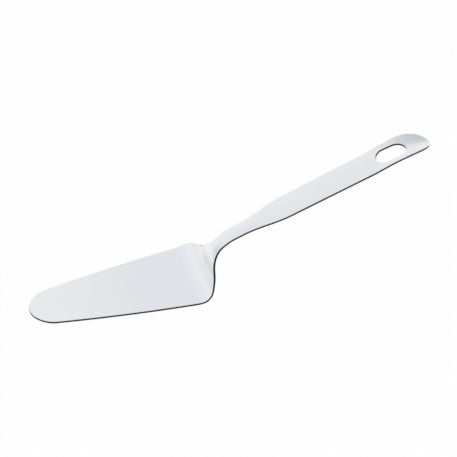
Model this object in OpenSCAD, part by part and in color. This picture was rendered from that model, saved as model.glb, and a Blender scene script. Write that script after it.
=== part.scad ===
// Cake server pressed in one piece from stainless steel sheet.
// The flat outline is laid out along a centre line, and the centre line is bent:
// flat blade, rise behind the heel, crest over the neck, straight grip, drooping and dished end.
// The origin is the middle of the flat underside of the blade. The handle points along +X.

/* [Sheet] */
// Thickness of the sheet
sheet_t = 1.5; // [1:0.1:2.5]
// Radius that is polished onto both corners of the sheet's edge
edge_r = 0.2; // [0.1:0.05:0.45]

/* [Blade] */
// Length of the flat of the blade, from the tip to where the heel starts to rise
flat_l = 104; // [80:1:140]
// Width that the sides of the blade come down to at the tip, before it is rounded
tip_w = 24.9; // [18:0.1:36]
// Length over which the tip rounds off
tip_l = 14.2; // [9:0.2:30]
// Width at the heel, before its corners are rounded
heel_w = 54.6; // [44:0.2:64]
// How far the long sides bow out past a straight line, at their middle
side_bow = 1.5; // [0:0.1:3]
// Length of sheet from the end of the flat to the corners of the heel
heel_l = 9; // [6:0.5:12]
// Radius of the corners of the heel
heel_r = 8.3; // [6:0.1:11]

/* [Neck] */
// Length of sheet over which the back edge runs in from the heel to the neck
back_l = 15.8; // [14:0.2:20]
// Radius where the back edge flows into the neck
throat_r = 19.2; // [12:0.2:22]
// Width of the neck
neck_w = 10.8; // [8:0.2:14]
// Length of the narrow neck, from the back edge to where the grip flares out
neck_l = 27.8; // [20:0.2:36]
// Length over which the neck flares out to the grip
flare_l = 32; // [20:0.5:45]
// Radius of the bend that lifts the neck off the blade
rise_r = 14.6; // [11:0.2:18]
// Steepest angle of the neck
rise_angle = 73.8; // [60:0.2:80]
// Radius of the bend that lays the neck over into the grip
crest_r = 29.9; // [20:0.1:36]
// Height of the crown across the neck
neck_crown = 0.6; // [0:0.1:1]

/* [Handle] */
// Angle between the grip and the blade
grip_angle = 20.8; // [15:0.1:28]
// Length of the straight grip, from the crest to where the end droops
grip_l = 102.9; // [90:0.1:130]
// Width of the grip where the flare ends
grip_w = 18.9; // [16:0.1:23]
// Height of the crown across the grip
grip_crown = 0.3; // [0:0.1:1]
// Width of the handle where its end starts to round off
end_w = 20.4; // [18:0.2:25]
// Length over which the end of the handle rounds off
end_l = 20.1; // [15:0.1:24]
// How far the sides would stand up past the middle at the very end of the handle, at its full width
end_dish = 3.7; // [0:0.1:5]
// Length over which the crown of the grip turns into the dish of the end
dish_l = 44; // [30:1:60]
// Radius of the drooping end
droop_r = 90; // [60:1:120]
// Angle through which the end droops
droop_angle = 23; // [10:1:35]
// Length of the hanging slot
slot_l = 20.7; // [16:0.1:26]
// Width of the hanging slot
slot_w = 11.8; // [6:0.1:12.4]
// Length over which the slot narrows to its end, on the side of the handle's end
slot_nose = 7.6; // [5:0.1:9]
// Length of sheet between the slot and the end of the handle
slot_back = 15.8; // [14:0.1:24]

/* [Hidden] */
steel = [0.87, 0.88, 0.9];
// Steps across half the sheet, round its edge, round a corner, and along the side, neck, grip and tail
across_n = 4;
edge_n = 2;
corner_n = 10;
side_n = 10;
neck_n = 26;
grip_n = 16;
tail_n = 18;
// Steps round each end of the slot
slot_n = 20;
// The last step of the blade keeps this share of the sheet's thickness clear of the cut
step_gap_share = 0.3;
// How far the punch for the slot runs past both faces
overrun = 3;
// Both elliptical ends of the sheet stop this angle short of a point
end_gap_angle = 4;

// Length of an arc
function arc_l(r, a) = r * a * PI / 180;

// Each bend of the centre line is a length of sheet and the angle that it turns up
bends = [
    [flat_l, 0],
    [arc_l(rise_r, rise_angle), rise_angle],
    [arc_l(crest_r, rise_angle - grip_angle), grip_angle - rise_angle],
    [grip_l, 0],
    [arc_l(droop_r, droop_angle), -droop_angle],
];

// Stations along the sheet, measured from the tip
rise_end = flat_l + bends[1][0];
heel_s = flat_l + heel_l;
neck_s = heel_s + back_l;
flare_s = neck_s + neck_l;
grip_s = flare_s + flare_l;
droop_s = rise_end + bends[2][0] + grip_l;
tail_s = droop_s + bends[4][0];
round_s = tail_s - end_l;
slot_end = tail_s - slot_back;
slot_s = slot_end - slot_l;

// Moves a place [x, z, angle] along one bend, or part of it
function travel(p, l, turn) =
    turn == 0
        ? [p[0] + l * cos(p[2]), p[1] + l * sin(p[2]), p[2]]
        : let (r = l / arc_l(1, turn), a = p[2] + turn)
          [p[0] + r * (sin(a) - sin(p[2])), p[1] + r * (cos(p[2]) - cos(a)), a];

// Place of the centre line's top face at a length s from the tip
function place(s, p = [-flat_l / 2, sheet_t, 0], i = 0) =
    s <= bends[i][0] || i == len(bends) - 1
        ? travel(p, s, bends[i][1] * s / bends[i][0])
        : place(s - bends[i][0], travel(p, bends[i][0], bends[i][1]), i + 1);

// Keeps a share between 0 and 1, and eases it from 0 to 1 with level ends
function clamp(q) = min(max(q, 0), 1);
function ease(q) = let (t = clamp(q)) t * t * (3 - 2 * t);

// Crown of the sheet at station s: none on the blade, and below zero where the end is dished
function crown(s) = ease((s - flat_l) / (rise_end - flat_l))
    * (neck_crown + (grip_crown - neck_crown) * ease((s - flare_s) / flare_l))
    - (grip_crown + end_dish) * ease(1 - (tail_s - s) / dish_l);

// Point of the sheet at station s, y to the side and d below the top face
function on_sheet(s, y, d) =
    let (p = place(s), depth = d + crown(s) * pow(y / crown_half(s), 2))
    [p[0] + depth * sin(p[2]), y, p[1] - depth * cos(p[2])];

// Points along a rounded corner b between a and c, with radius r
function corner(a, b, c, r, n) =
    let (
        u = (a - b) / norm(a - b),
        v = (c - b) / norm(c - b),
        half = acos(u * v) / 2,
        centre = b + (u + v) / norm(u + v) * r / sin(half),
        start = b + u * r / tan(half) - centre,
        from = atan2(start[1], start[0]),
        turn = sign(cross(v, u)) * (180 - 2 * half)
    )
    [for (k = [0:n]) let (t = from + turn * k / n) centre + r * [cos(t), sin(t)]];

// Points between two points, without the ends
function between(a, b, n) = [for (k = [1:n - 1]) a + (b - a) * k / n];

// Outline of the blade on one side as [station, half width]: tip, long side, heel, back edge, throat
function side_half(s) = tip_w / 2 + (heel_w - tip_w) / 2 * s / heel_s;
function tip_s(k) = tip_l * (1 - cos(end_gap_angle + (90 - end_gap_angle) * k / corner_n));
tip_side = [for (k = [0:corner_n]) [tip_s(k), side_half(tip_s(k))]];
heel_corner = corner([0, tip_w / 2], [heel_s, heel_w / 2], [neck_s, neck_w / 2], heel_r, corner_n);
throat = corner([heel_s, heel_w / 2], [neck_s, neck_w / 2], [flare_s, neck_w / 2], throat_r, corner_n);
straight_outline = concat(
    tip_side,
    between(tip_side[corner_n], heel_corner[0], side_n),
    heel_corner,
    between(heel_corner[corner_n], throat[0], edge_n),
    throat
);

// The long sides bow out, and the tip rounds off to an ellipse
function bow(s) = let (u = clamp(s / heel_s)) side_bow * 4 * u * (1 - u);
function tip_round(s) = sqrt(1 - pow(clamp(1 - s / tip_l), 2));
blade_outline = [for (p = straight_outline) [p[0], (p[1] + bow(p[0])) * tip_round(p[0])]];

// Half width of the sheet at station s: along the neck, along the grip, and anywhere
function neck_half(s) = neck_w / 2 + (grip_w - neck_w) / 2 * ease((s - flare_s) / flare_l);
function grip_half(s) = grip_w / 2 + (end_w - grip_w) / 2 * clamp((s - grip_s) / (round_s - grip_s));
function end_round(s) = sqrt(1 - pow(clamp((s - round_s) / end_l), 2));
function half_at(s) =
    s < throat[corner_n][0] ? lookup(s, blade_outline)
    : s < grip_s ? neck_half(s)
    : grip_half(s) * end_round(s);

// Half width that the crown spans: the round end keeps the curve of the full width
function crown_half(s) = s < grip_s ? half_at(s) : grip_half(s);

// Steps along the sheet for each node, from cut to cut
blade_steps = [for (p = blade_outline) if (p[0] < rise_end - sheet_t * step_gap_share) p[0]];
neck_steps = between(rise_end, grip_s, neck_n);
tail_from = min(round_s, droop_s);
grip_steps = between(grip_s, tail_from, grip_n);
tail_turn = (90 - end_gap_angle) / tail_n;
tail_steps = [for (k = [0:tail_n]) tail_from + (tail_s - tail_from) * sin(tail_turn * k)];
function outline(steps) = [for (s = steps) [s, half_at(s)]];

// Corner of the sheet's edge, top to bottom: [how far in from the outline, depth below the top face]
function quarter(k) = edge_r * (1 - sin(90 * k / edge_n));
function dip(k) = edge_r * (1 - cos(90 * k / edge_n));
edge_profile = concat(
    [for (k = [0:edge_n]) [quarter(k), dip(k)]],
    [for (k = [edge_n:-1:0]) [quarter(k), sheet_t - dip(k)]]
);
edge_last = len(edge_profile) - 1;

// Outward direction of the outline at its point i, square to it at a cut and closed over a round end
function mirrored(p) = [p[0], -p[1]];
function outward(path, i, round_start, round_stop) =
    let (last = len(path) - 1)
    (i == 0 && !round_start) || (i == last && !round_stop)
        ? [0, 1]
        : let (
              a = i == 0 ? mirrored(path[0]) : path[i - 1],
              b = i == last ? mirrored(path[last]) : path[i + 1],
              t = (b - a) / norm(b - a)
          )
          [-t[1], t[0]];

// Loop of points round the sheet at one point p of the outline: top face, edge, underside, edge
function rim(p, out, e, side) = on_sheet(p[0] - out[0] * e[0], side * (p[1] - out[1] * e[0]), e[1]);
function face_row(p, out, d, side) = [
    for (k = [-across_n:across_n])
        on_sheet(p[0] - out[0] * edge_r, side * (p[1] - out[1] * edge_r) * k / across_n, d)
];
function ring(p, out) = concat(
    face_row(p, out, 0, 1),
    [for (k = [1:edge_last - 1]) rim(p, out, edge_profile[k], 1)],
    face_row(p, out, sheet_t, -1),
    [for (k = [edge_last - 1:-1:1]) rim(p, out, edge_profile[k], -1)]
);
row_n = 2 * across_n + 1;
rim_n = edge_last - 1;
ring_n = 2 * (row_n + rim_n);

// Faces that close a ring: the two face rows, and a band for each step down the edge
function cap() = concat(
    [[for (k = [0:row_n]) k, ring_n - 1]],
    [for (k = [0:rim_n - 2]) [row_n + k, row_n + k + 1, ring_n - 2 - k, ring_n - 1 - k]],
    [[for (k = [row_n + rim_n - 1:2 * row_n + rim_n]) k]]
);
function reversed(list) = [for (k = [len(list) - 1:-1:0]) list[k]];

// Strip of sheet that follows an outline, between two cuts or round ends
module strip(path, round_start = false, round_stop = false) {
    last = len(path) - 1;
    points = [for (i = [0:last]) each ring(path[i], outward(path, i, round_start, round_stop))];
    sides = [
        for (i = [0:last - 1], k = [0:ring_n - 1])
            let (a = i * ring_n, b = a + ring_n, m = (k + 1) % ring_n)
            each [[a + k, a + m, b + m], [a + k, b + m, b + k]]
    ];
    start = [for (f = cap()) reversed(f)];
    stop = [for (f = cap()) [for (v = f) v + last * ring_n]];
    polyhedron(points, concat(sides, start, stop), convexity = 6);
}

// Blade with its heel, up to where the rise behind it is steepest
module blade() color(steel) strip(outline(concat(blade_steps, [rise_end])), round_start = true);

// Neck: over the crest and out along the flare
module neck() color(steel) strip(outline(concat([rise_end], neck_steps, [grip_s])));

// Grip and drooping end, with the hanging slot punched square through it
module handle() color(steel) difference() {
    strip(outline(concat([grip_s], grip_steps, tail_steps)), round_stop = true);
    slot_punch();
}

// Outline of the slot about its middle: a half circle towards the grip, a half ellipse towards the end
slot_r = slot_w / 2;
slot_turns = [for (k = [0:slot_n]) -90 + 180 * k / slot_n];
slot_outline = concat(
    [for (t = slot_turns) [slot_l / 2 - slot_nose + slot_nose * cos(t), slot_r * sin(t)]],
    [for (t = slot_turns) [slot_r - slot_l / 2 - slot_r * cos(t), -slot_r * sin(t)]]
);

module slot_punch() {
    p = place((slot_s + slot_end) / 2);
    deep = sheet_t + overrun;
    translate([p[0], 0, p[1]]) rotate([0, -p[2], 0]) translate([0, 0, -deep])
        linear_extrude(deep + end_dish + overrun) polygon(slot_outline);
}

blade();
neck();
handle();
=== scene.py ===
"""Cake server: one sheet of satin stainless steel on a white studio floor."""
from functools import lru_cache
from math import acos, atan2, cos, hypot, pi, radians, sin, sqrt, tan

import bmesh
import bpy
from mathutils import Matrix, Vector


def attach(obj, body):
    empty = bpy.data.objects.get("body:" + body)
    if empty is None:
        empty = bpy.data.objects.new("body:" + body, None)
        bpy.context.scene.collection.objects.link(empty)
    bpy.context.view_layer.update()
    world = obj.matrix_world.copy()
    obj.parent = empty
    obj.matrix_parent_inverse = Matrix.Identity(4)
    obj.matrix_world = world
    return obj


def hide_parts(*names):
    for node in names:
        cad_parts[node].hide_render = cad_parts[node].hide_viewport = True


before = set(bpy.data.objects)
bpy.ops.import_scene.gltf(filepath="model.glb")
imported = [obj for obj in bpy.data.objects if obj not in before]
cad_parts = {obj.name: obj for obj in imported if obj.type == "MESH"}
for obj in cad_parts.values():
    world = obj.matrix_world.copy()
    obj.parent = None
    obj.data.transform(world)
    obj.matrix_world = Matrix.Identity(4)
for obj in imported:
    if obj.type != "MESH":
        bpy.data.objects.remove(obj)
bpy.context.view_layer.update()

# Units: sizes are in millimetres and angles in degrees, unless a heading says otherwise
MM = 0.001

# Sheet
SHEET_T = 1.5
EDGE_R = 0.2

# Blade
FLAT_L = 104.0
TIP_W = 24.9
TIP_L = 14.2
HEEL_W = 54.6
SIDE_BOW = 1.5
HEEL_L = 9.0
HEEL_R = 8.3

# Neck
BACK_L = 15.8
THROAT_R = 19.2
NECK_W = 10.8
NECK_L = 27.8
FLARE_L = 32.0
RISE_R = 14.6
RISE_ANGLE = 73.8
CREST_R = 29.9
NECK_CROWN = 0.6

# Handle
GRIP_ANGLE = 20.8
GRIP_L = 102.9
GRIP_W = 18.9
GRIP_CROWN = 0.3
END_W = 20.4
END_L = 20.1
END_DISH = 3.7
DISH_L = 44.0
DROOP_R = 90.0
DROOP_ANGLE = 23.0
SLOT_L = 20.7
SLOT_W = 11.8
SLOT_NOSE = 7.6
SLOT_BACK = 15.8

# Fineness of the meshes: the first steps of an edge's rounding, its arris, stay as bright as the faces,
# and the rest of the edge gets the painted dark reflection
STEP = 0.7
CORNER_STEPS = 40
EDGE_STEPS = 6
ARRIS_STEPS = 2
ACROSS = 14
SUPPORT_SHARE = 0.02
CUT_STEPS = (0.0, 0.02, 0.1, 0.35)
LEAST_GAP = 0.005
SLOT_STEPS = 12
SLOT_MARGIN = 1.0
TIP_TURNS = (2.5, 4, 6, 8, 10, 13, 16, 20, 24, 29, 34, 40, 46, 52, 58, 64, 70, 76, 82, 86, 90)
END_TURNS = (20, 26, 32, 38, 44, 50, 56, 61, 66, 70, 74, 77, 80, 83, 85.5, 87.5)
WELD = 0.0005
SHARP_ANGLE = 40

# Satin steel: noise scales are per metre, and a painted highlight, paler and warmer, grows from one x to
# the other, nearer the tip
STEEL_DARK = (0.88, 0.885, 0.895, 1.0)
STEEL_PALE = (0.92, 0.925, 0.935, 1.0)
# Painted highlight: a paler, warmer steel colour for the tip that stands in for light
STEEL_PAINTED_LIGHT = (0.965, 0.96, 0.95, 1.0)
PAINTED_LIGHT_FROM = 35.0
PAINTED_LIGHT_TO = -45.0
GRAIN_ALONG = 14.0
GRAIN_ACROSS = 2600.0
GRAIN_ROUGH = (0.27, 0.33)
GRAIN_DEPTH = 0.002
POLISH_SCALE = 28.0
POLISH_ROUGH = (-0.02, 0.03)
POLISH_SHARE = 0.6
SPECK_SCALE = 900.0
SPECK_SHARE = 0.3
STEEL_BUMP = 0.5

# Cut edge of the sheet, painted near-black as a painted dark reflection: the noise scale is per metre
# Painted dark reflection: near-black colours for the cut wall, which is the same steel as the faces
CUT_PAINTED_SHADE_DARK = (0.02, 0.02, 0.022, 1.0)
CUT_PAINTED_SHADE_PALE = (0.045, 0.046, 0.05, 1.0)
CUT_SCALE = 1400.0
CUT_ROUGH = (0.42, 0.55)
CUT_DEPTH = 0.01
CUT_BUMP = 0.4
CUT_DETAIL = 4.0

# Noise: the part of its range that a material uses, and its finer detail
NOISE_SPAN = (0.3, 0.7)
HAIR_SPAN = (0.25, 0.75)
HAIR_DETAIL = 3.0
HAIR_ROUGH = 0.6
CLOUD_DETAIL = 2.0
CLOUD_ROUGH = 0.5

# Floor: its side is in metres, and its gap under the part in millimetres
FLOOR_SIDE = 16.0
FLOOR_GAP = 0.1
FLOOR_TONE = 0.94
FLOOR_WHITE_SHARE = 0.97

# Sky: tones by height from 0 to 1, and darker patches, each with its heading, spread and tone
SKY_BANDS = (
    (0.0, (0.95, 0.95, 0.96, 1.0)),
    (0.4, (0.93, 0.94, 0.95, 1.0)),
    (0.7, (0.87, 0.885, 0.91, 1.0)),
    (1.0, (0.76, 0.80, 0.82, 1.0)),
)
SKY_SHADES = (
    ((-1.0, 0.15, 0.0), 40.0, (0.60, 0.62, 0.64, 1.0)),
    ((0.1, -1.0, 0.3), 85.0, (0.55, 0.57, 0.59, 1.0)),
    ((0.45, 0.1, 0.9), 40.0, (0.56, 0.60, 0.62, 1.0)),
)

# Lamp, in metres and watts
LAMP_AT = (-0.9, -1.4, 1.2)
LAMP_SIDE = 1.4
LAMP_POWER = 2.0

# Camera, from the outlines in the photograph
CAM_AZIMUTH = -17.46
CAM_ELEVATION = 44.02
CAM_DISTANCE = 1280.0
CAM_TARGET = (81.0, 0.0, 35.54)
PHOTO_SIDE_PX = 457
MM_PER_PX = 0.64
SENSOR = 36.0


def arc_l(r, angle):
    """Length of an arc."""
    return r * radians(angle)


# The centre line, as lengths of sheet and the angle that each turns up
RISE_L = arc_l(RISE_R, RISE_ANGLE)
CREST_L = arc_l(CREST_R, RISE_ANGLE - GRIP_ANGLE)
DROOP_L = arc_l(DROOP_R, DROOP_ANGLE)
BENDS = (
    (FLAT_L, 0.0),
    (RISE_L, RISE_ANGLE),
    (CREST_L, GRIP_ANGLE - RISE_ANGLE),
    (GRIP_L, 0.0),
    (DROOP_L, -DROOP_ANGLE),
)

# Stations along the sheet, measured from the tip
RISE_END = FLAT_L + RISE_L
HEEL_S = FLAT_L + HEEL_L
NECK_S = HEEL_S + BACK_L
FLARE_S = NECK_S + NECK_L
GRIP_S = FLARE_S + FLARE_L
DROOP_S = RISE_END + CREST_L + GRIP_L
TAIL_S = DROOP_S + DROOP_L
ROUND_S = TAIL_S - END_L
SLOT_END = TAIL_S - SLOT_BACK
SLOT_S = SLOT_END - SLOT_L


def clamp(v):
    """The value held between 0 and 1."""
    return min(max(v, 0.0), 1.0)


def ease(q):
    """From 0 to 1 with level ends."""
    t = clamp(q)
    return t * t * (3 - 2 * t)


def travel(x, z, angle, length, turn):
    """The place reached from x, z after a length of sheet that turns by an angle."""
    a = radians(angle)
    if not turn:
        return x + length * cos(a), z + length * sin(a), angle
    r = length / radians(turn)
    b = radians(angle + turn)
    return x + r * (sin(b) - sin(a)), z + r * (cos(a) - cos(b)), angle + turn


@lru_cache(maxsize=None)
def place(s):
    """Top face of the centre line at a length s from the tip, and its slope."""
    at = (-FLAT_L / 2, SHEET_T, 0.0)
    for i, (length, turn) in enumerate(BENDS):
        if s <= length or i == len(BENDS) - 1:
            return travel(*at, s, turn * s / length)
        at = travel(*at, length, turn)
        s -= length


def corner(a, b, c, r, n=CORNER_STEPS):
    """Points along the rounded corner b between a and c."""
    ua, uc = hypot(a[0] - b[0], a[1] - b[1]), hypot(c[0] - b[0], c[1] - b[1])
    u = ((a[0] - b[0]) / ua, (a[1] - b[1]) / ua)
    v = ((c[0] - b[0]) / uc, (c[1] - b[1]) / uc)
    half = acos(u[0] * v[0] + u[1] * v[1]) / 2
    w = hypot(u[0] + v[0], u[1] + v[1])
    centre = [b[k] + (u[k] + v[k]) / w * r / sin(half) for k in (0, 1)]
    start = [b[k] + u[k] * r / tan(half) - centre[k] for k in (0, 1)]
    side = 1 if v[0] * u[1] - v[1] * u[0] > 0 else -1
    first = atan2(start[1], start[0])
    turn = side * (pi - 2 * half)
    return [
        (centre[0] + r * cos(first + turn * k / n), centre[1] + r * sin(first + turn * k / n))
        for k in range(n + 1)
    ]


def between(a, b, step=STEP):
    """Points on the straight line from a to b, without its ends."""
    n = max(1, round(hypot(b[0] - a[0], b[1] - a[1]) / step))
    return [tuple(a[i] + (b[i] - a[i]) * k / n for i in (0, 1)) for k in range(1, n)]


def blade_outline():
    """One side of the blade as (station, half width): tip, long side, heel, back edge, throat."""
    tip = (0.0, TIP_W / 2)
    heel = (HEEL_S, HEEL_W / 2)
    neck = (NECK_S, NECK_W / 2)
    heel_corner = corner(tip, heel, neck, HEEL_R)
    throat = corner(heel, neck, (FLARE_S, NECK_W / 2), THROAT_R)
    tip_round = [TIP_L * (1 - cos(radians(t))) for t in TIP_TURNS]
    sides = [(s, TIP_W / 2 + (HEEL_W - TIP_W) / 2 * s / HEEL_S) for s in tip_round]
    line = (
        sides + between(sides[-1], heel_corner[0]) + heel_corner
        + between(heel_corner[-1], throat[0]) + throat
    )
    out = []
    for s, w in line:
        u = min(s / HEEL_S, 1.0)
        bow = SIDE_BOW * 4 * u * (1 - u)
        out.append((s, (w + bow) * sqrt(1 - clamp(1 - s / TIP_L) ** 2)))
    return out


BLADE = blade_outline()


def lookup(s, line):
    """Half width at station s on a line of points."""
    for a, b in zip(line, line[1:]):
        if a[0] <= s <= b[0]:
            return a[1] + (b[1] - a[1]) * (s - a[0]) / (b[0] - a[0])
    return line[-1][1]


def grip_half(s):
    """Half width of the grip, which widens evenly towards its round end."""
    return GRIP_W / 2 + (END_W - GRIP_W) / 2 * clamp((s - GRIP_S) / (ROUND_S - GRIP_S))


@lru_cache(maxsize=None)
def half_at(s):
    """Half width of the sheet at station s."""
    if s < BLADE[-1][0]:
        return lookup(s, BLADE)
    if s < GRIP_S:
        return NECK_W / 2 + (GRIP_W - NECK_W) / 2 * ease((s - FLARE_S) / FLARE_L)
    return grip_half(s) * sqrt(1 - clamp((s - ROUND_S) / END_L) ** 2)


@lru_cache(maxsize=None)
def crown_half(s):
    """Half width that the crown spans: the round end keeps the crown of the full width."""
    return half_at(s) if s < GRIP_S else grip_half(s)


def slot_at(s):
    """Half width of the hanging slot at station s, and the direction from its wall into the slot."""
    r = SLOT_W / 2
    over, reach = s - SLOT_S - r, r
    if over > 0:
        over, reach = max(s - SLOT_END + SLOT_NOSE, 0.0), SLOT_NOSE
    u = over / reach
    half = r * sqrt(max(1 - u * u, 0.0))
    inward = (-u / reach, -half / r / r)
    length = hypot(*inward)
    return half, (inward[0] / length, inward[1] / length)


@lru_cache(maxsize=None)
def crown(s):
    """Height of the crown at station s: below zero where the end of the handle is dished."""
    grown = ease((s - FLAT_L) / (RISE_END - FLAT_L))
    arched = NECK_CROWN + (GRIP_CROWN - NECK_CROWN) * ease((s - FLARE_S) / FLARE_L)
    return grown * arched - (GRIP_CROWN + END_DISH) * ease(1 - (TAIL_S - s) / DISH_L)


def on_sheet(s, y, depth):
    """Point of the sheet at station s, y to the side and depth below the top face, in metres."""
    x, z, angle = place(s)
    d = depth + crown(s) * (y / crown_half(s)) ** 2
    a = radians(angle)
    return (MM * (x + d * sin(a)), MM * y, MM * (z - d * cos(a)))


def outward(path, i, ends):
    """Direction out of the sheet at point i of an outline: an end that is no cut turns round there."""
    last = len(path) - 1
    if (i == 0 and not ends[0]) or (i == last and not ends[1]):
        return (0.0, 1.0)
    a = (path[0][0], -path[0][1]) if i == 0 else path[i - 1]
    b = (path[last][0], -path[last][1]) if i == last else path[i + 1]
    d = hypot(b[0] - a[0], b[1] - a[1])
    return ((a[1] - b[1]) / d, (b[0] - a[0]) / d)


def edge_profile():
    """The sheet's edge from top to bottom, as pairs of how far in and how deep."""
    turns = [radians(90) * k / EDGE_STEPS for k in range(EDGE_STEPS + 1)]
    top = [(EDGE_R * (1 - sin(t)), EDGE_R * (1 - cos(t))) for t in turns]
    return top + [(inset, SHEET_T - depth) for inset, depth in reversed(top)]


PROFILE = edge_profile()
ROWS = [0.0, SUPPORT_SHARE] + [k / ACROSS for k in range(1, ACROSS)] + [1 - SUPPORT_SHARE, 1.0]
WALL = PROFILE[1:-1]
RING = 2 * (len(ROWS) + len(WALL))


def half_ring(s, half, out, slot, side):
    """Half a cross section as a loop: top face, edge, underside, then the slot's wall or the middle."""
    inner, inward = slot if slot else (0.0, (out[0], 0.0))
    a = (s - inward[0] * EDGE_R, inner - inward[1] * EDGE_R)
    b = (s - out[0] * EDGE_R, half - out[1] * EDGE_R)

    def face(share, depth):
        return on_sheet(a[0] + (b[0] - a[0]) * share, side * (a[1] + (b[1] - a[1]) * share), depth)

    def wall(y, normal, inset, depth):
        return on_sheet(s - normal[0] * inset, side * (y - normal[1] * inset), depth)

    return (
        [face(t, 0.0) for t in ROWS]
        + [wall(half, out, *p) for p in WALL]
        + [face(t, SHEET_T) for t in reversed(ROWS)]
        + [wall(inner, inward, *p) for p in reversed(WALL)]
    )


def cap(base):
    """Faces that close half a cross section, from the top face down its edge."""
    n, w = len(ROWS), len(WALL)
    edge = [base + n - 1 + k for k in range(w + 2)]
    middle = [base] + [base + RING - 1 - k for k in range(w)] + [base + 2 * n + w - 1]
    top = list(range(base, base + n)) + [edge[1], middle[1]]
    under = list(range(base + n + w, base + 2 * n + w)) + [middle[w], edge[w]]
    return [top] + [[edge[k], edge[k + 1], middle[k + 1], middle[k]] for k in range(1, w)] + [under]


def build_strip(name, path, ends, slotted=False):
    """Mesh of one stretch of the sheet: two mirrored halves, joined along the middle."""
    points, faces, painted_shade_faces = [], [], []
    # Faces of the outer edge and the slot wall that get the painted dark reflection
    outer_wall = range(len(ROWS) - 1 + ARRIS_STEPS, len(ROWS) + len(WALL))
    middle = 2 * len(ROWS) + len(WALL) - 1
    slot_wall = range(middle, RING - ARRIS_STEPS)
    slots = [slot_at(s) if slotted and SLOT_S <= s <= SLOT_END else None for s, _ in path]
    for side in (1, -1):
        base = len(points)
        for i, (s, half) in enumerate(path):
            points += half_ring(s, half, outward(path, i, ends), slots[i], side)
        for i in range(len(path) - 1):
            at = base + i * RING
            shown = RING if slots[i] and slots[i + 1] else middle
            for k in range(shown):
                m = (k + 1) % RING
                faces.append([at + k, at + m, at + RING + m, at + RING + k])
                painted_shade_faces.append(k in outer_wall or k in slot_wall)
        for at, rounded in ((base, ends[0]), (len(points) - RING, ends[1])):
            closing = cap(at)
            faces += closing
            painted_shade_faces += [rounded and k > ARRIS_STEPS for k in range(len(closing))]
    return make_piece(name, points, faces, painted_shade_faces)


def make_piece(name, points, faces, painted_shade_faces):
    """Welds the halves, shades the piece smooth but for its sharp edges, and puts it in the scene."""
    mesh = bpy.data.meshes.new(name)
    mesh.from_pydata(points, [], faces)
    for polygon, is_painted_shade in zip(mesh.polygons, painted_shade_faces):
        # Index 1 is the near-black material, a painted dark reflection on the cut wall
        polygon.material_index = int(is_painted_shade)
        polygon.use_smooth = True
    bm = bmesh.new()
    bm.from_mesh(mesh)
    bmesh.ops.remove_doubles(bm, verts=bm.verts, dist=WELD * MM)
    bmesh.ops.delete(bm, geom=[v for v in bm.verts if not v.link_faces], context="VERTS")
    bmesh.ops.recalc_face_normals(bm, faces=bm.faces)
    for edge in bm.edges:
        edge.smooth = edge.calc_face_angle(0.0) < radians(SHARP_ANGLE)
    bm.to_mesh(mesh)
    bm.free()
    piece = bpy.data.objects.new(name, mesh)
    bpy.context.collection.objects.link(piece)
    return piece


def stations(start, stop, step=STEP):
    """Evenly spaced stations from start to stop, both included."""
    n = max(1, round((stop - start) / step))
    return [start + (stop - start) * k / n for k in range(n + 1)]


def near_cut(s, way):
    """Stations that close in on a cut, so that the shading matches across it."""
    return [s + way * d for d in CUT_STEPS]


def outline(marks):
    """Points of the outline at the given stations, in order and with none closer than the least gap."""
    kept = []
    for s in sorted(marks):
        if not kept or s - kept[-1] > LEAST_GAP:
            kept.append(s)
    return [(s, half_at(s)) for s in kept]


def blade():
    """The blade, from its tip to the cut where the rise ends."""
    inner = [p for p in BLADE if p[0] < RISE_END - CUT_STEPS[-1]]
    return build_strip("server_blade", inner + outline(near_cut(RISE_END, -1)), (True, False))


def neck():
    """The neck, between the two cuts."""
    throat = [s for s, _ in BLADE if RISE_END + CUT_STEPS[-1] < s]
    straight = stations(throat[-1], GRIP_S - CUT_STEPS[-1])
    marks = near_cut(RISE_END, 1) + throat + straight + near_cut(GRIP_S, -1)
    return build_strip("server_neck", outline(marks), (False, False))


def slot_stations():
    """Stations of the hanging slot: close together where its ends turn."""
    r = SLOT_W / 2
    turns = [1 - cos(radians(90) * k / SLOT_STEPS) for k in range(SLOT_STEPS + 1)]
    middle = stations(SLOT_S + r, SLOT_END - SLOT_NOSE)[1:-1]
    return [SLOT_S + r * t for t in turns] + middle + [SLOT_END - SLOT_NOSE * t for t in turns]


def handle():
    """The grip and its drooping end, with the hanging slot."""
    before = stations(GRIP_S + CUT_STEPS[-1], SLOT_S - SLOT_MARGIN)
    after = stations(SLOT_END + SLOT_MARGIN, ROUND_S + END_L * sin(radians(END_TURNS[0])))
    round_end = [ROUND_S + END_L * sin(radians(t)) for t in END_TURNS[1:]]
    marks = near_cut(GRIP_S, 1) + before + slot_stations() + after + round_end
    return build_strip("server_handle", outline(marks), (False, True), slotted=True)


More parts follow.
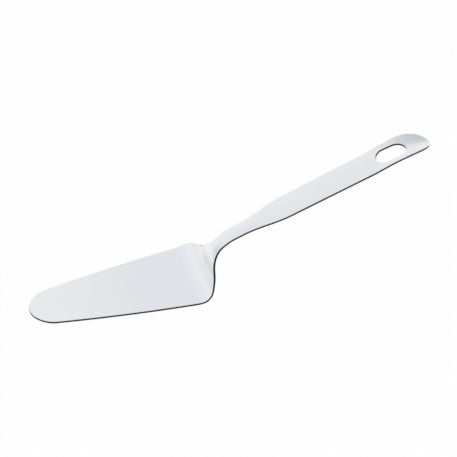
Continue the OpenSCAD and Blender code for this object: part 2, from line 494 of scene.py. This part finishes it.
class Nodes:
    """Short way to add and link the nodes of one tree."""

    def __init__(self, tree):
        self.tree = tree
        tree.nodes.clear()

    def add(self, kind, inputs=None, **settings):
        """A new node with its settings, whose inputs are linked or set."""
        node = self.tree.nodes.new(kind)
        for key, value in settings.items():
            setattr(node, key, value)
        for key, value in (inputs or {}).items():
            if isinstance(value, bpy.types.NodeSocket):
                self.tree.links.new(value, node.inputs[key])
            else:
                node.inputs[key].default_value = value
        return node

    def math(self, operation, a, b):
        """Result of a Math node."""
        return self.add("ShaderNodeMath", {0: a, 1: b}, operation=operation).outputs[0]

    def span(self, value, from_lo, from_hi, to_lo, to_hi, smooth=False):
        """A value taken from one range to another, and held within it."""
        kind = "SMOOTHSTEP" if smooth else "LINEAR"
        values = {
            "Value": value,
            "From Min": from_lo,
            "From Max": from_hi,
            "To Min": to_lo,
            "To Max": to_hi,
        }
        return self.add("ShaderNodeMapRange", values, interpolation_type=kind).outputs["Result"]

    def bands(self, value, stops):
        """Colours that blend from stop to stop as the value rises."""
        node = self.add("ShaderNodeValToRGB", {"Fac": value})
        elements = node.color_ramp.elements
        elements.remove(elements[-1])
        for i, (at, tone) in enumerate(stops):
            element = elements.new(at) if i else elements[0]
            element.position = at
            element.color = tone
        return node.outputs["Color"]

    def mix(self, share, a, b):
        """Blend of two colours. A Mix node has several sockets of each name, so these are numbered."""
        factor, colour_a, colour_b, result = 0, 6, 7, 2
        node = self.add("ShaderNodeMix", {factor: share, colour_a: a, colour_b: b}, data_type="RGBA")
        return node.outputs[result]


def material(name):
    """A new material, and its empty tree."""
    made = bpy.data.materials.new(name)
    made.use_nodes = True
    return made, Nodes(made.node_tree)


def grey(level):
    """A neutral colour."""
    return (level, level, level, 1.0)


def grain(nodes, along, across):
    """Noise in hairlines that run the length of the sheet, which bends only in x and z."""
    place_at = nodes.add("ShaderNodeTexCoord").outputs["Object"]
    scale = {"Vector": place_at, "Scale": (along, across, along)}
    stretched = nodes.add("ShaderNodeMapping", scale, vector_type="POINT").outputs["Vector"]
    noise = {"Vector": stretched, "Scale": 1.0, "Detail": HAIR_DETAIL, "Roughness": HAIR_ROUGH}
    return nodes.add("ShaderNodeTexNoise", noise).outputs["Fac"]


def cloud(nodes, scale, detail=CLOUD_DETAIL):
    """Soft noise in all directions."""
    place_at = nodes.add("ShaderNodeTexCoord").outputs["Object"]
    noise = {"Vector": place_at, "Scale": scale, "Detail": detail, "Roughness": CLOUD_ROUGH}
    return nodes.add("ShaderNodeTexNoise", noise).outputs["Fac"]


def finish(nodes, colour, rough, bump):
    """Metal of a colour and roughness, with a fine relief."""
    normal = nodes.add("ShaderNodeBump", bump).outputs["Normal"]
    metal = {"Base Color": colour, "Metallic": 1.0, "Roughness": rough, "Normal": normal}
    shader = nodes.add("ShaderNodeBsdfPrincipled", metal)
    nodes.add("ShaderNodeOutputMaterial", {"Surface": shader.outputs["BSDF"]})


def tip_painted_light(nodes):
    """1 at the tip of the blade, where a paler tone is painted in as a highlight, fading to 0 towards
    its heel.
    """
    place_at = nodes.add("ShaderNodeTexCoord").outputs["Object"]
    x = nodes.add("ShaderNodeSeparateXYZ", {"Vector": place_at}).outputs["X"]
    return nodes.span(x, PAINTED_LIGHT_TO * MM, PAINTED_LIGHT_FROM * MM, 1.0, 0.0, smooth=True)


def steel():
    """Satin steel: fine brushing along the sheet, faint uneven polish, and a painted highlight that
    makes the tip paler.
    """
    made, nodes = material("satin_steel")
    hairlines = grain(nodes, GRAIN_ALONG, GRAIN_ACROSS)
    polish = cloud(nodes, POLISH_SCALE)
    specks = cloud(nodes, SPECK_SCALE)
    brushed = nodes.math("MULTIPLY", hairlines, 1 - POLISH_SHARE)
    tone = nodes.math("ADD", brushed, nodes.math("MULTIPLY", polish, POLISH_SHARE))
    colour = nodes.mix(nodes.span(tone, *NOISE_SPAN, 0.0, 1.0), STEEL_DARK, STEEL_PALE)
    # Painted highlight: the tip's colour is blended towards a paler, warmer tone that stands in for
    # light
    colour = nodes.mix(tip_painted_light(nodes), colour, STEEL_PAINTED_LIGHT)
    hair_rough = nodes.span(hairlines, *HAIR_SPAN, *GRAIN_ROUGH)
    rough = nodes.math("ADD", hair_rough, nodes.span(polish, *NOISE_SPAN, *POLISH_ROUGH))
    height = nodes.math("ADD", hairlines, nodes.math("MULTIPLY", specks, SPECK_SHARE))
    bump = {"Strength": STEEL_BUMP, "Distance": GRAIN_DEPTH * MM, "Height": height}
    finish(nodes, colour, rough, bump)
    return made


def painted_shade_edge():
    """The sheet's cut wall: duller than its faces, and painted near-black as a painted dark reflection,
    with fine marks across the cut.
    """
    made, nodes = material("painted_shade_edge")
    marks = cloud(nodes, CUT_SCALE, CUT_DETAIL)
    # Painted dark reflection: the cut wall's colour is near-black
    colour = nodes.mix(nodes.span(marks, *NOISE_SPAN, 0.0, 1.0), CUT_PAINTED_SHADE_DARK, CUT_PAINTED_SHADE_PALE)
    rough = nodes.span(marks, *NOISE_SPAN, *CUT_ROUGH)
    finish(nodes, colour, rough, {"Strength": CUT_BUMP, "Distance": CUT_DEPTH * MM, "Height": marks})
    return made


def seen(nodes):
    """1 for rays that show a picture of what they meet: from the camera, a reflection or glass."""
    path = nodes.add("ShaderNodeLightPath").outputs
    share = nodes.math("MAXIMUM", path["Is Camera Ray"], path["Is Glossy Ray"])
    return nodes.math("MAXIMUM", share, path["Is Transmission Ray"])


def floor():
    """A plain white floor that keeps the object's shadow."""
    mesh = bpy.data.meshes.new("floor")
    a = FLOOR_SIDE / 2
    mesh.from_pydata([(-a, -a, 0.0), (a, -a, 0.0), (a, a, 0.0), (-a, a, 0.0)], [], [(0, 1, 2, 3)])
    plane = bpy.data.objects.new("floor", mesh)
    plane.location.z = -FLOOR_GAP * MM
    bpy.context.collection.objects.link(plane)
    made, nodes = material("floor_white")
    paint = nodes.add("ShaderNodeBsdfDiffuse", {"Color": grey(FLOOR_TONE)}).outputs["BSDF"]
    glow = nodes.add("ShaderNodeEmission", {"Color": grey(1.0), "Strength": 1.0}).outputs["Emission"]
    share = nodes.math("MULTIPLY", seen(nodes), FLOOR_WHITE_SHARE)
    both = nodes.add("ShaderNodeMixShader", {0: share, 1: paint, 2: glow}).outputs["Shader"]
    nodes.add("ShaderNodeOutputMaterial", {"Surface": both})
    mesh.materials.append(made)


def patch(nodes, direction, heading, spread):
    """1 towards a heading of the sky, fading to 0 over a spread in degrees."""
    towards = Vector(heading).normalized()
    dot = nodes.add("ShaderNodeVectorMath", {0: direction, 1: towards}, operation="DOT_PRODUCT")
    return nodes.span(dot.outputs["Value"], cos(radians(spread)), 1.0, 0.0, 1.0, smooth=True)


def studio():
    """Pale walls under a cooler, darker ceiling, with darker patches at the left, in front and above."""
    world = bpy.data.worlds.new("studio")
    bpy.context.scene.world = world
    world.use_nodes = True
    nodes = Nodes(world.node_tree)
    direction = nodes.add("ShaderNodeTexCoord").outputs["Generated"]
    height = nodes.add("ShaderNodeSeparateXYZ", {"Vector": direction}).outputs["Z"]
    colour = nodes.bands(height, SKY_BANDS)
    for heading, spread, tone in SKY_SHADES:
        colour = nodes.mix(patch(nodes, direction, heading, spread), colour, tone)
    glow = nodes.add("ShaderNodeBackground", {"Color": colour, "Strength": 1.0})
    nodes.add("ShaderNodeOutputWorld", {"Surface": glow.outputs["Background"]})


def lamp(name, at, side, power):
    """A square soft lamp that points at the object."""
    light = bpy.data.lights.new(name, "AREA")
    light.shape = "SQUARE"
    light.size = side
    light.energy = power
    made = bpy.data.objects.new(name, light)
    made.location = at
    made.rotation_mode = "QUATERNION"
    made.rotation_quaternion = (Vector(CAM_TARGET) * MM - Vector(at)).to_track_quat("-Z", "Y")
    bpy.context.collection.objects.link(made)


def camera():
    """The photograph's view."""
    azimuth, elevation = radians(CAM_AZIMUTH), radians(CAM_ELEVATION)
    back = Vector((sin(azimuth) * cos(elevation), -cos(azimuth) * cos(elevation), sin(elevation)))
    data = bpy.data.cameras.new("camera")
    data.sensor_width = SENSOR
    data.lens = SENSOR * CAM_DISTANCE / (MM_PER_PX * PHOTO_SIDE_PX)
    made = bpy.data.objects.new("camera", data)
    made.location = (Vector(CAM_TARGET) + back * CAM_DISTANCE) * MM
    made.rotation_mode = "QUATERNION"
    made.rotation_quaternion = (-back).to_track_quat("-Z", "Y")
    bpy.context.collection.objects.link(made)
    bpy.context.scene.camera = made


camera()
floor()
studio()
lamp("key", LAMP_AT, LAMP_SIDE, LAMP_POWER)
metals = (steel(), painted_shade_edge())
for piece, node in ((blade(), "blade"), (neck(), "neck"), (handle(), "handle")):
    for metal in metals:
        piece.data.materials.append(metal)
    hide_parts(node)
    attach(piece, "root")

bpy.context.scene.view_settings.view_transform = "Standard"
